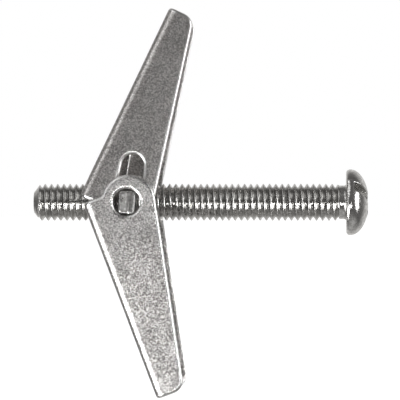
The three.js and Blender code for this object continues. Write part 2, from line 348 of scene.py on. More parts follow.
@dataclass(frozen=True)
class Finish:
    """One plated or bare metal surface.

    Attributes:
        name: The material's name.
        light: Colour of the brighter patches.
        dark: Colour of the duller patches.
        specks: Colour of the small bright grains.
        roughness: Roughness of a clean patch.
        roughness_spread: How much duller patches add to it.
        grains: Grains per metre.
        grain_depth: Depth of the grain, in metres.
        lines: Tool lines per metre along X, Y and Z.
        line_depth: Depth of the tool lines, in metres.
        speck_share: How strongly specks show.
        wear_and_highlight_share: How strongly edges are worn bright, partly real wear and partly painted
            highlight.
        dust_and_shade_share: How strongly the dull film shows, partly dust and partly painted shade darkening
            hollows.
    """

    name: str
    light: Triple
    dark: Triple
    specks: Triple = (0.92, 0.91, 0.9)
    roughness: float = 0.3
    roughness_spread: float = 0.15
    grains: float = 2500.0
    grain_depth: float = 2.0e-5
    lines: Triple = (400.0, 9000.0, 9000.0)
    line_depth: float = 0.0
    speck_share: float = 0.5
    wear_and_highlight_share: float = 0.7
    dust_and_shade_share: float = 0.5

    def build(self, groups: SurfaceGroups) -> bpy.types.Material:
        """Makes the material.

        Args:
            groups: The shared shader groups.

        Returns:
            A material that reads object coordinates and the piece's edge and hollow attributes.
        """
        material = bpy.data.materials.new(self.name)
        material.use_nodes = True
        graph = Graph(material.node_tree)
        shader = material.node_tree.nodes["Principled BSDF"]
        where = graph.node("ShaderNodeTexCoord").outputs["Object"]
        edge = graph.node("ShaderNodeAttribute", attribute_name="edge").outputs["Fac"]
        hollow = graph.node("ShaderNodeAttribute", attribute_name="hollow").outputs["Fac"]

        def placed(group: NodeGroup, inputs: dict) -> bpy.types.Node:
            """Places a shared group with its own values."""
            return graph.node("ShaderNodeGroup", {"Vector": where, **inputs}, node_tree=group.tree)

        grain = placed(groups.grain, {"Grains per metre": self.grains})
        wear = placed(groups.wear, {"Edge": edge})
        dust = placed(groups.dust, {"Hollow": hollow})

        # The film is partly dust in patches, partly painted shade in hollows and thread valleys.
        film = graph.math("MULTIPLY", dust.outputs["Mask"], self.dust_and_shade_share)
        # Edges and thread crests are brightened: partly real wear, partly painted highlight.
        rubbed_and_highlit = graph.math("MULTIPLY", wear.outputs["Mask"], self.wear_and_highlight_share)
        specks = graph.math("MULTIPLY", grain.outputs["Specks"], self.speck_share)
        colour = graph.mix(grain.outputs["Tone"], (*self.dark, 1.0), (*self.light, 1.0))
        colour = graph.mix(specks, colour, (*self.specks, 1.0))
        colour = graph.mix(rubbed_and_highlit, colour, RUBBED_METAL_AND_HIGHLIGHT)
        colour = graph.mix(film, colour, DULL_FILM_AND_SHADE)
        graph.feed(shader.inputs["Base Color"], colour)

        dull = graph.math("SUBTRACT", 1.0, grain.outputs["Tone"])
        rough = graph.math("MULTIPLY_ADD", dull, self.roughness_spread, self.roughness)
        rough = graph.math("MULTIPLY_ADD", film, 0.25, rough)
        rough = graph.math("MULTIPLY_ADD", rubbed_and_highlit, -0.35 * self.roughness, rough, clamp=True)
        graph.feed(shader.inputs["Roughness"], rough)
        shader.inputs["Metallic"].default_value = 1.0

        bump = graph.node("ShaderNodeBump", {"Height": grain.outputs["Height"], "Distance": self.grain_depth})
        if self.line_depth:
            lines = placed(groups.lines, {"Lines per metre": self.lines}).outputs["Height"]
            given = {"Height": lines, "Distance": self.line_depth, "Normal": bump.outputs[0]}
            bump = graph.node("ShaderNodeBump", given)
        graph.feed(shader.inputs["Normal"], bump.outputs[0])
        return material


BOLT_FINISH = Finish(
    "bright_zinc_screw",
    light=(0.78, 0.775, 0.76),
    dark=(0.5, 0.495, 0.48),
    roughness=0.16,
    roughness_spread=0.14,
    grains=3000.0,
    grain_depth=9.0e-6,
    lines=(5000.0, 900.0, 900.0),
    line_depth=4.0e-6,
    speck_share=0.25,
    wear_and_highlight_share=0.8,
    dust_and_shade_share=0.75,
)
# The same zinc sheet as the lower wing, painted darker: painted shade on the upper wing.
UPPER_WING_SHADED_FINISH = Finish(
    "zinc_sheet_upper_painted_shade",
    light=(0.88, 0.85, 0.83),
    dark=(0.31, 0.299, 0.291),
    roughness=0.38,
    roughness_spread=0.12,
    grains=7500.0,
    grain_depth=1.4e-5,
    speck_share=0.9,
    wear_and_highlight_share=0.85,
)
# The same zinc sheet as the upper wing, painted brighter: painted light on the lower wing.
LOWER_WING_LIT_FINISH = Finish(
    "zinc_sheet_lower_painted_light",
    light=(1.0, 0.975, 0.96),
    dark=(0.3, 0.289, 0.284),
    roughness=0.31,
    roughness_spread=0.16,
    grains=7500.0,
    grain_depth=1.9e-5,
    speck_share=1.0,
    wear_and_highlight_share=0.85,
)
NUT_FINISH = Finish(
    "zinc_plate_nut",
    light=(0.68, 0.675, 0.66),
    dark=(0.36, 0.355, 0.345),
    roughness=0.27,
    roughness_spread=0.16,
    grain_depth=2.0e-5,
    lines=(7000.0, 500.0, 700.0),
    line_depth=1.6e-5,
    dust_and_shade_share=0.7,
)
WIRE_FINISH = Finish(
    "drawn_spring_wire",
    light=(0.62, 0.61, 0.6),
    dark=(0.34, 0.335, 0.33),
    roughness=0.24,
    roughness_spread=0.12,
    grains=4200.0,
    grain_depth=8.0e-6,
    lines=(9000.0, 9000.0, 600.0),
    line_depth=6.0e-6,
    speck_share=0.3,
)


# ------------------------------------------------------------------ mesh work


def put(name: str, data: bpy.types.ID) -> bpy.types.Object:
    """Puts a mesh, a light or a camera into the scene."""
    made = bpy.data.objects.new(name, data)
    bpy.context.scene.collection.objects.link(made)
    return made


def object_from(name: str, vertices: np.ndarray | list, faces: list) -> bpy.types.Object:
    """Makes an object of a mesh, with its faces turned outwards.

    Args:
        name: The object's name.
        vertices: Its points, in millimetres.
        faces: Each face's points.

    Returns:
        The object, linked to the scene.
    """
    mesh = bpy.data.meshes.new(name)
    mesh.from_pydata([tuple(v) for v in vertices], [], faces)
    made = put(name, mesh)
    turn_outwards(mesh)
    return made


def turn_outwards(mesh: bpy.types.Mesh) -> None:
    """Turns every face of a closed mesh outwards."""
    work = bmesh.new()
    work.from_mesh(mesh)
    bmesh.ops.recalc_face_normals(work, faces=work.faces[:])
    work.to_mesh(mesh)
    work.free()


def settle(piece: bpy.types.Object) -> bpy.types.Object:
    """Replaces an object's mesh with its evaluated one and removes its modifiers.

    Args:
        piece: The object.

    Returns:
        The same object.
    """
    bpy.context.view_layer.update()
    evaluated = piece.evaluated_get(bpy.context.evaluated_depsgraph_get())
    mesh = bpy.data.meshes.new_from_object(evaluated)
    piece.modifiers.clear()
    piece.data = mesh
    return piece


def grown(
    name: str, tree: NodeGroup, values: dict, start: bpy.types.Object | None = None
) -> bpy.types.Object:
    """Makes a mesh with a Geometry Nodes tree.

    Args:
        name: The new object's name.
        tree: The tree.
        values: The tree's inputs, by name.
        start: The object whose mesh the tree starts from, if any.

    Returns:
        An object with the tree's result as its own mesh.
    """
    piece = start or object_from(name, [], [])
    modifier = piece.modifiers.new("shape", "NODES")
    modifier.node_group = tree.tree
    identifiers = tree.identifiers()
    for label, value in values.items():
        modifier[identifiers[label]] = value
    return settle(piece)


def lathe(name: str, profile: list[Point], segments: int) -> bpy.types.Object:
    """Turns a profile about the X axis.

    Args:
        name: The object's name.
        profile: Points of X and radius, the first and last on the axis.
        segments: Steps round the axis.

    Returns:
        A closed solid.
    """
    angles = np.linspace(0, 2 * math.pi, segments, endpoint=False)
    rings = [[(x, r * math.cos(a), r * math.sin(a)) for a in angles] for x, r in profile[1:-1]]
    vertices = [(profile[0][0], 0, 0)] + [v for ring in rings for v in ring] + [(profile[-1][0], 0, 0)]
    last = len(vertices) - 1
    faces = []
    for k in range(segments):
        after = (k + 1) % segments
        faces.append((0, 1 + k, 1 + after))
        faces.append((last, last - segments + after, last - segments + k))
        for ring in range(len(rings) - 1):
            low, high = 1 + ring * segments, 1 + (ring + 1) * segments
            faces.append((low + k, high + k, high + after, low + after))
    return object_from(name, vertices, faces)


def prism(name: str, outline: list[Point], low: float, high: float, place: Callable) -> bpy.types.Object:
    """Gives an outline thickness.

    Args:
        name: The object's name.
        outline: A closed outline.
        low: Where the thickness starts.
        high: Where it ends.
        place: Turns outline x, outline y and depth into a point.

    Returns:
        A closed solid.
    """
    count = len(outline)
    vertices = [place(x, y, depth) for depth in (low, high) for x, y in outline]
    faces = [tuple(range(count)), tuple(range(2 * count - 1, count - 1, -1))]
    faces += [(k, (k + 1) % count, count + (k + 1) % count, count + k) for k in range(count)]
    return object_from(name, vertices, faces)


def arc(centre: Point, radius: float, start: float, end: float, step: float) -> list[Point]:
    """Gives points along an arc.

    Args:
        centre: The arc's centre.
        radius: Its radius.
        start: Its first angle, in radians.
        end: Its last angle.
        step: The longest distance between points.

    Returns:
        The points, both ends included.
    """
    count = max(3, math.ceil(abs(end - start) * radius / step) + 1)
    x, y = centre
    angles = np.linspace(start, end, count)
    return [(x + radius * math.cos(a), y + radius * math.sin(a)) for a in angles]


def rounded_rectangle(half_width: float, half_height: float, radius: float) -> list[Point]:
    """Gives a rectangle with rounded corners.

    Args:
        half_width: Half its first side.
        half_height: Half its second side.
        radius: Its corners' radius.

    Returns:
        Its outline.
    """
    x, y, quarter = half_width - radius, half_height - radius, math.pi / 2
    corners = [(x, y), (-x, y), (-x, -y), (x, -y)]
    step = radius / 5
    rounds = [arc(c, radius, k * quarter, (k + 1) * quarter, step) for k, c in enumerate(corners)]
    return [p for points in rounds for p in points]


def combine(body: bpy.types.Object, other: bpy.types.Object, operation: str) -> None:
    """Joins a solid to a body or cuts it out, and removes the solid."""
    modifier = body.modifiers.new("combine", "BOOLEAN")
    modifier.operation, modifier.solver, modifier.object = operation, "EXACT", other
    settle(body)
    bpy.data.objects.remove(other)


def soften(body: bpy.types.Object, cell: float, passes: int) -> None:
    """Rebuilds a solid from even small faces, with its edges rounded.

    Args:
        body: The solid.
        cell: The faces' size, in millimetres.
        passes: How many times it is smoothed.
    """
    remesh = body.modifiers.new("even", "REMESH")
    remesh.mode, remesh.voxel_size = "VOXEL", cell
    smooth = body.modifiers.new("round", "SMOOTH")
    smooth.factor, smooth.iterations = 0.5, passes
    settle(body)


def points_of(mesh: bpy.types.Mesh) -> np.ndarray:
    """Gives a mesh's points as an array."""
    co = np.zeros(len(mesh.vertices) * 3)
    mesh.vertices.foreach_get("co", co)
    return co.reshape(-1, 3)


def set_attribute(mesh: bpy.types.Mesh, name: str, values: np.ndarray) -> None:
    """Stores one number at each point of a mesh."""
    attribute = mesh.attributes.get(name) or mesh.attributes.new(name, "FLOAT", "POINT")
    attribute.data.foreach_set("value", values.astype(np.float32))


def mark_edges(mesh: bpy.types.Mesh, sharpest: float, spread: int) -> None:
    """Stores how far each point lies on an outside edge and in a hollow.

    Args:
        mesh: A mesh in millimetres.
        sharpest: The curvature, per millimetre, that counts as a full edge or hollow.
        spread: How many times the marks are averaged with their neighbours.
    """
    co = points_of(mesh)
    normals = np.zeros(co.size)
    mesh.vertex_normals.foreach_get("vector", normals)
    normals = normals.reshape(-1, 3)
    ends = np.zeros(len(mesh.edges) * 2, int)
    mesh.edges.foreach_get("vertices", ends)
    a, b = ends.reshape(-1, 2).T
    count = np.maximum(np.bincount(a, minlength=len(co)) + np.bincount(b, minlength=len(co)), 1)

    def around(values: np.ndarray) -> np.ndarray:
        """Averages over each point's neighbours."""
        total = np.bincount(a, values[b], len(co)) + np.bincount(b, values[a], len(co))
        return total / count

    offset = np.stack([around(co[:, k]) for k in range(3)], axis=1) - co
    length = np.linalg.norm(co[a] - co[b], axis=1) ** 2
    reach = (np.bincount(a, length, len(co)) + np.bincount(b, length, len(co))) / count
    bend = -2 * (offset * normals).sum(1) / np.maximum(reach, 1e-9) / sharpest
    for _ in range(spread):
        bend = 0.5 * bend + 0.5 * around(bend)
    set_attribute(mesh, "edge", np.clip(bend, 0, 1))
    set_attribute(mesh, "hollow", np.clip(-bend, 0, 1))


def ripple(points: np.ndarray, wavelength: float, seed: float) -> np.ndarray:
    """Gives smooth noise at each point.

    Args:
        points: The points, in millimetres.
        wavelength: The noise's size.
        seed: Where in the noise it is read.

    Returns:
        Numbers between about -1 and 1.
    """
    shift = Vector((seed, 2 * seed, 3 * seed))
    return np.array([noise.noise(Vector(p) / wavelength + shift) for p in points])


class Workshop:
    """Puts finished pieces in place on the frame."""

    def __init__(self) -> None:
        """Starts with no pieces."""
        self.count = 0

    def prepare(self, piece: bpy.types.Object, material: bpy.types.Material) -> None:
        """Scales a piece to metres, smooths it and gives it its finish."""
        piece.data.transform(Matrix.Scale(MM, 4))
        piece.data.shade_smooth()
        piece.data.materials.clear()
        piece.data.materials.append(material)
        piece.data.name = piece.name

    def register(self, piece: bpy.types.Object, node: str) -> None:
        """Hides the CAD node a piece stands for, counts the piece and logs its node and triangles."""
        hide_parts(node)
        self.count += 1
        piece.data.calc_loop_triangles()
        LOG.info("%s stands for %s: %d triangles", piece.name, node, len(piece.data.loop_triangles))

    def ride(
        self, piece: bpy.types.Object, material: bpy.types.Material, node: str, body: str
    ) -> None:
        """Finishes a piece that moves with one body.

        Args:
            piece: The piece, in millimetres.
            material: Its finish.
            node: The CAD node it stands for.
            body: The body it moves with.
        """
        self.prepare(piece, material)
        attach(piece, body)
        self.register(piece, node)


# ------------------------------------------------------------------ machine screw


def hand_out(group: NodeGroup, geometry: bpy.types.NodeSocket) -> None:
    """Makes a tree's geometry real, gives it the material input and puts it out."""
    real = group.graph.node("GeometryNodeRealizeInstances", {"Geometry": geometry})
    given = {"Geometry": real.outputs[0], "Material": group.inputs["Material"]}
    group.put_out("Geometry", group.graph.node("GeometryNodeSetMaterial", given).outputs[0])


def thread_tree() -> NodeGroup:
    """Builds the tree that makes a right-hand threaded rod along X.

    Rows of points climb one pitch a turn, so that the last point of each row is the first point of
    a row one pitch on. Past the rod's ends they gather on the end's rim and are merged.

    Returns:
        The tree, with the rod's sizes as named inputs.
    """
    sizes = {
        "Tip": (FLOAT, -50.0),
        "Neck": (FLOAT, -1.1),
        "End": (FLOAT, 0.3),
        "Pitch": (FLOAT, 1.0),
        "Root radius": (FLOAT, 2.36),
        "Depth": (FLOAT, 0.61),
        "Tip radius": (FLOAT, 1.65),
        "Chamfer slope": (FLOAT, 1.0),
        "Neck radius": (FLOAT, 2.69),
        "Runout slope": (FLOAT, 0.5),
        "Rounding": (FLOAT, 0.1),
        "Unevenness": (FLOAT, 0.01),
        "Steps": (INTEGER, 72),
        "Rows per pitch": (INTEGER, 14),
        "Rows": (INTEGER, 800),
        "Material": (MATERIAL, None),
    }
    group = NodeGroup("Screw thread", "GeometryNodeTree", sizes, {"Geometry": GEOMETRY})
    graph, given = group.graph, group.inputs
    steps, rows = given["Steps"], given["Rows"]
    grid = graph.node(
        "GeometryNodeMeshGrid",
        {
            "Size X": steps,
            "Size Y": rows,
            "Vertices X": graph.math("ADD", steps, 1.0),
            "Vertices Y": graph.math("ADD", rows, 1.0),
        },
    )
    flat = graph.node("ShaderNodeSeparateXYZ", {0: graph.node("GeometryNodeInputPosition").outputs[0]})
    column = graph.math("ROUND", graph.math("MULTIPLY_ADD", steps, 0.5, flat.outputs["X"]))
    row = graph.math("ROUND", graph.math("MULTIPLY_ADD", rows, 0.5, flat.outputs["Y"]))
    part = graph.math("DIVIDE", column, steps)
    level = graph.math("DIVIDE", row, given["Rows per pitch"])
    climb = graph.math("MULTIPLY", graph.math("ADD", level, part), given["Pitch"])
    before = graph.math("SUBTRACT", given["Tip"], graph.math("MULTIPLY", given["Pitch"], 2.0))
    along = graph.math("ADD", before, climb)
    inside = graph.math("MINIMUM", graph.math("MAXIMUM", along, given["Tip"]), given["End"])

    phase = graph.math("PINGPONG", level, 0.5)
    flank = graph.math("MULTIPLY_ADD", phase, 2.5, -0.12)
    crest = graph.math("SMOOTH_MIN", flank, 1.0, given["Rounding"])
    height = graph.math("SMOOTH_MAX", crest, 0.0, given["Rounding"])
    thread = graph.math("MULTIPLY_ADD", height, given["Depth"], given["Root radius"])
    chamfer = graph.math("MULTIPLY", graph.math("SUBTRACT", inside, given["Tip"]), given["Chamfer slope"])
    chamfer = graph.math("ADD", chamfer, given["Tip radius"])
    runout = graph.math("MULTIPLY", graph.math("SUBTRACT", given["Neck"], inside), given["Runout slope"])
    runout = graph.math("ADD", graph.math("MAXIMUM", runout, 0.0), given["Neck radius"])
    radius = graph.math("MINIMUM", graph.math("MINIMUM", thread, chamfer), runout)
    past_tip = graph.math("LESS_THAN", along, given["Tip"])
    past_neck = graph.math("GREATER_THAN", along, given["Neck"])
    for past, rim in ((past_tip, "Tip radius"), (past_neck, "Neck radius")):
        swap = graph.math("MULTIPLY", past, graph.math("SUBTRACT", given[rim], radius))
        radius = graph.math("ADD", radius, swap)

    turn = graph.math("MULTIPLY", part, 2 * math.pi)
    cosine, sine = graph.math("COSINE", turn), graph.math("SINE", turn)
    read_at = graph.node("ShaderNodeCombineXYZ", {0: inside, 1: cosine, 2: sine})
    uneven = graph.math("SUBTRACT", graph.noise(read_at.outputs[0], 1.7, 2.0), 0.5)
    radius = graph.math("MULTIPLY_ADD", uneven, given["Unevenness"], radius)
    spot = graph.node(
        "ShaderNodeCombineXYZ",
        {0: inside, 1: graph.math("MULTIPLY", radius, cosine), 2: graph.math("MULTIPLY", radius, sine)},
    )
    moved = graph.node("GeometryNodeSetPosition", {"Geometry": grid.outputs[0], "Position": spot.outputs[0]})
    merged = graph.node("GeometryNodeMergeByDistance", {"Geometry": moved.outputs[0], "Distance": 0.002})
    hand_out(group, merged.outputs[0])
    return group


@dataclass
class MachineScrew:
    """The threaded shank and the round head with its combined slot and cross drive."""

    material: bpy.types.Material
    node: str = "machine_screw"
    body: str = "screw"
    slot: str = "screw_zinc"
    pitch: float = 1.0
    root_radius: float = 2.36
    crest_radius: float = 2.97
    tip_radius: float = 1.65
    chamfer: float = 1.0
    neck_length: float = 1.1
    neck_radius: float = 2.69
    neck_fillet: float = 0.32
    runout: float = 0.4
    seated: float = 0.3
    steps: int = 72
    rows_per_pitch: int = 14
    rim_height: float = 0.65
    rim_round: float = 0.5
    dome_axis: float = 2.95
    slot_width: float = 1.6
    slot_depth: float = 2.3
    slot_turn: float = 30.0
    recess_width: float = 1.25
    recess_half_length: float = 2.35
    recess_floor_half_length: float = 1.1
    recess_depth: float = 2.6
    overcut: float = 1.0
    cell: float = 0.07
    burr_height: float = 0.09
    burr_distance: float = 0.15
    burr_width: float = 0.22
    dent_depth: float = 0.018

    def __post_init__(self) -> None:
        """Reads the screw's length and the head's size from the frame."""
        low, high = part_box(self.node)
        self.tip = low.x / MM
        self.head_height = high.x / MM
        self.head_radius = high.z / MM

    def shank(self) -> bpy.types.Object:
        """Builds the threaded shank with its chamfered end.

        Returns:
            A closed rod that ends inside the head.
        """
        length = self.seated - self.tip
        pitches = math.ceil(length / self.pitch) + 4
        values = {
            "Tip": self.tip,
            "Neck": -self.neck_length,
            "End": self.seated,
            "Pitch": self.pitch,
            "Root radius": self.root_radius,
            "Depth": self.crest_radius - self.root_radius,
            "Tip radius": self.tip_radius,
            "Chamfer slope": (self.crest_radius - self.tip_radius) / self.chamfer,
            "Neck radius": self.neck_radius,
            "Runout slope": (self.crest_radius - self.neck_radius) / self.runout,
            "Steps": self.steps,
            "Rows per pitch": self.rows_per_pitch,
            "Rows": pitches * self.rows_per_pitch,
            "Material": self.material,
        }
        rod = grown("screw_shank", thread_tree(), values)
        self.close_ends(rod.data)
        return rod

    def close_ends(self, mesh: bpy.types.Mesh) -> None:
        """Closes both ends of the rod, the visible one slightly dished.

        Args:
            mesh: The rod's mesh.
        """
        work = bmesh.new()
        work.from_mesh(mesh)
        open_edges = [e for e in work.edges if e.is_boundary]
        caps = bmesh.ops.holes_fill(work, edges=open_edges, sides=0)["faces"]
        for depth, share in ((0.1, 0.06), (0.45, 0.02), (0.9, -0.03)):
            bmesh.ops.inset_individual(work, faces=caps, thickness=depth, depth=0, use_even_offset=True)
            for face in caps:
                side = 1 if face.calc_center_median().x < self.tip / 2 else 0
                for vertex in face.verts:
                    vertex.co.x += side * share
        bmesh.ops.poke(work, faces=caps)
        bmesh.ops.recalc_face_normals(work, faces=work.faces[:])
        work.to_mesh(mesh)
        work.free()

    def head_profile(self) -> list[Point]:
        """Gives the head's profile, from the neck's fillet to the crown.

        Returns:
            Points of X and radius.
        """
        quarter = math.pi / 2
        fillet, neck = self.neck_fillet, self.neck_radius
        points = [(-self.neck_length, 0.0), (-self.neck_length, neck - 0.02), (-fillet, neck)]
        for angle in np.linspace(0, quarter, 8)[1:]:
            points.append((fillet * (math.sin(angle) - 1), neck + fillet * (1 - math.cos(angle))))
        for angle in np.linspace(0, quarter, 10):
            rim = self.head_radius - self.rim_round * (1 - math.sin(angle))
            points.append((self.rim_height * (1 - math.cos(angle)), rim))
        crown = math.asin((self.head_height - self.rim_height) / self.dome_axis)
        for angle in np.linspace(0, crown, 26)[1:]:
            x = self.rim_height + self.dome_axis * math.sin(angle)
            points.append((x, self.head_radius * math.cos(angle)))
        points.append((self.head_height, 0.0))
        return points

    def head(self) -> bpy.types.Object:
        """Builds the head and cuts its drive.

        Returns:
            A closed solid with softened edges.
        """
        head = lathe("screw_head", self.head_profile(), segments=128)
        crown, over = self.head_height, self.overcut
        half, reach = self.slot_width / 2, self.head_radius + over
        base, top = crown - self.slot_depth, crown + over
        slot = [(base, -half), (top, -half), (top, half), (base, half)]
        turn = Matrix.Rotation(-math.radians(self.slot_turn), 3, "X")
        cutter = prism("slot", slot, -reach, reach, lambda x, z, y: turn @ Vector((x, y, z)))
        combine(head, cutter, "DIFFERENCE")
        floor, low, high = crown - self.recess_depth, self.recess_floor_half_length, self.recess_half_length
        blade = [(floor, -low), (crown, -high), (top, -high), (top, high), (crown, high), (floor, low)]
        thick = self.recess_width / 2
        along = prism("blade", blade, -thick, thick, lambda x, y, z: turn @ Vector((x, y, z)))
        combine(head, along, "DIFFERENCE")
        across = prism("blade", blade, -thick, thick, lambda x, y, z: turn @ Vector((x, -z, y)))
        combine(head, across, "DIFFERENCE")
        soften(head, self.cell, passes=5)
        self.roughen(head.data, turn)
        return head

    def roughen(self, mesh: bpy.types.Mesh, turn: Matrix) -> None:
        """Pushes up a small burr beside the slot's ends and dents the dome a little.

        Args:
            mesh: The head's mesh.
            turn: How the slot is turned.
        """
        co = points_of(mesh)
        local = co @ np.array(turn)
        from_slot = np.abs(local[:, 2]) - self.slot_width / 2
        beside = np.exp(-(((from_slot - self.burr_distance) / self.burr_width) ** 2))
        radius = np.hypot(co[:, 1], co[:, 2])
        outer = np.clip((radius - 0.84 * self.head_radius) / (0.1 * self.head_radius), 0, 1)
        burr = self.burr_height * beside * outer * (0.6 + 0.8 * ripple(co, wavelength=0.8, seed=3.1))
        dents = self.dent_depth * ripple(co, wavelength=1.3, seed=8.2) * (co[:, 0] > 0.1)
        push = np.where(co[:, 0] > 0.05, burr + dents, 0.0)[:, None]
        outwards = co * np.array([0, 1, 1]) / np.maximum(radius, 1e-6)[:, None]
        co = co + outwards * push
        mesh.vertices.foreach_set("co", co.ravel())
        mesh.update()

    def build(self, shop: Workshop) -> None:
        """Builds the shank and the head and puts them in place."""
        for piece in (self.shank(), self.head()):
            # The edge and hollow marks brighten thread crests and darken thread valleys: painted highlight
            # and painted shade as well as wear and dust.
            mark_edges(piece.data, sharpest=2.2, spread=2)
            shop.ride(piece, self.material, self.node, self.body)


# ------------------------------------------------------------------ toggle nut


@dataclass
class Pivot:
    """Where the wings turn, and how the nut leans on the screw."""

    joint: str = "upper_wing_fold"
    tilt: float = 2.4
    open_angle: float = 23.2

    def placement(self, frame: dict) -> Matrix:
        """Gives the nut's place, in millimetres.


        Returns:
            The matrix from the pivot's frame to the part's.
        """
        spot = next(j["pos_m"] for j in frame["joints"] if j["name"] == self.joint)
        return Matrix.Translation(Vector(spot) / MM) @ Matrix.Rotation(math.radians(self.tilt), 4, "Y")


@dataclass
class ToggleNut:
    """The plate nut, with a lug on each side that both wings turn on."""

    material: bpy.types.Material
    placement: Matrix
    node: str = "toggle_nut"
    body: str = "nut"
    slot: str = "nut_zinc"
    thickness: float = 2.5
    half_width: float = 3.77
    half_height: float = 4.27
    corner: float = 1.1
    bore_radius: float = 3.22
    bore_chamfer: float = 0.25
    lug_height: float = 3.5
    lug_corner: float = 0.6
    lug_end: float = 7.352
    lug_inset: float = 0.01
    worn_band: float = 0.3
    wear: float = 0.1
    unevenness: float = 0.05
    cell: float = 0.085

    def build(self, shop: Workshop) -> None:
        """Builds the nut and puts it in place."""
        half = self.thickness / 2
        plate = rounded_rectangle(self.half_width, self.half_height, self.corner)
        nut = prism("nut_plate", plate, -half, half, lambda y, z, x: (x, y, z))
        section = rounded_rectangle(half - self.lug_inset, self.lug_height / 2, self.lug_corner)
        lugs = prism("lugs", section, -self.lug_end, self.lug_end, lambda x, z, y: (x, y, z))
        combine(nut, lugs, "UNION")
        wide, face = self.bore_radius + self.bore_chamfer, half - self.bore_chamfer
        bore = [(-half - 1, 0), (-half - 1, wide), (-half, wide), (-face, self.bore_radius)]
        bore += [(x, r) for x, r in ((face, self.bore_radius), (half, wide), (half + 1, wide), (half + 1, 0))]
        combine(nut, lathe("bore", bore, segments=96), "DIFFERENCE")
        soften(nut, self.cell, passes=6)
        co = points_of(nut.data)
        ends = np.clip((np.abs(co[:, 1]) - self.lug_end + self.worn_band) / self.worn_band, 0, 1)
        shear = ripple(co * np.array([1, 0, 0.12]), wavelength=0.42, seed=5.3)
        co[:, 1] -= np.sign(co[:, 1]) * ends * (self.wear + self.unevenness * shear)
        nut.data.vertices.foreach_set("co", co.ravel())
        mark_edges(nut.data, sharpest=1.6, spread=3)
        nut.data.transform(self.placement)
        shop.ride(nut, self.material, self.node, self.body)


# ------------------------------------------------------------------ wings


class WingSide(Enum):
    """Which of the two wings, with its node, body and place about the screw."""

    UPPER = ("upper_wing", "wing_up", 0.0)
    LOWER = ("lower_wing", "wing_down", math.pi)

    @property
    def node(self) -> str:
        """The wing's CAD node."""
        return self.value[0]

    @property
    def body(self) -> str:
        """The wing's body."""
        return self.value[1]

    @property
    def turn(self) -> float:
        """The wing's angle about the screw."""
        return self.value[2]


